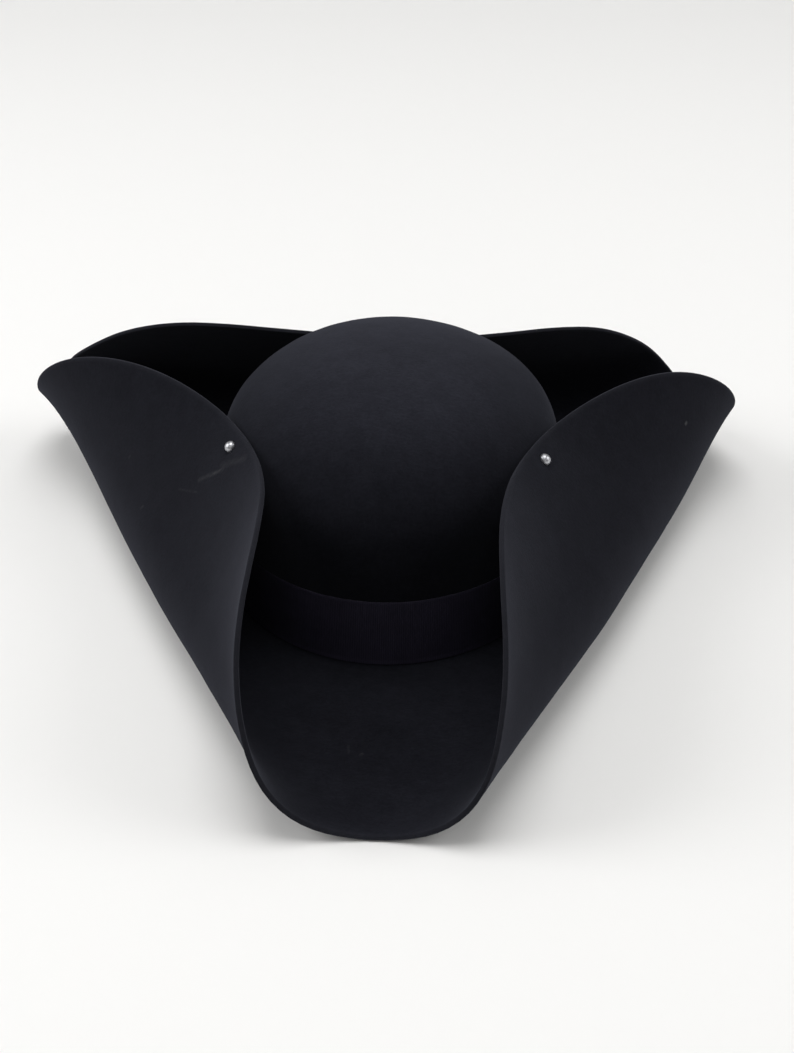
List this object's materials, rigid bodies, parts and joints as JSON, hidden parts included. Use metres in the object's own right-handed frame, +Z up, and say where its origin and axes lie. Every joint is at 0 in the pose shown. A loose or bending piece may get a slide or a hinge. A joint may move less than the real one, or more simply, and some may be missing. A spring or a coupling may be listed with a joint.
{
  "type": "tricorn hat",
  "caption": "Tricorn hat of black wool felt: a round crown with a ribbon at its foot and a wide brim rolled up in flaps that studs hold to the crown.",
  "frame": {"origin": "middle of the hat's footprint, on the plane of the brim's flat underside", "axes": "+Z up through the crown, -Y out through the front spout, +X to the right of someone who looks at the front"},
  "size_m": [0.4112, 0.383, 0.1222],
  "materials": {
    "felt": "matte wool felt",
    "ribbon": "ribbed black ribbon",
    "stud": "smooth bright steel"
  },
  "bodies": {
    "root": {"felt_body": "felt", "hat_band": "ribbon", "stud_left": "stud", "stud_right": "stud", "stud_back": "stud"}
  },
  "joints": []
}
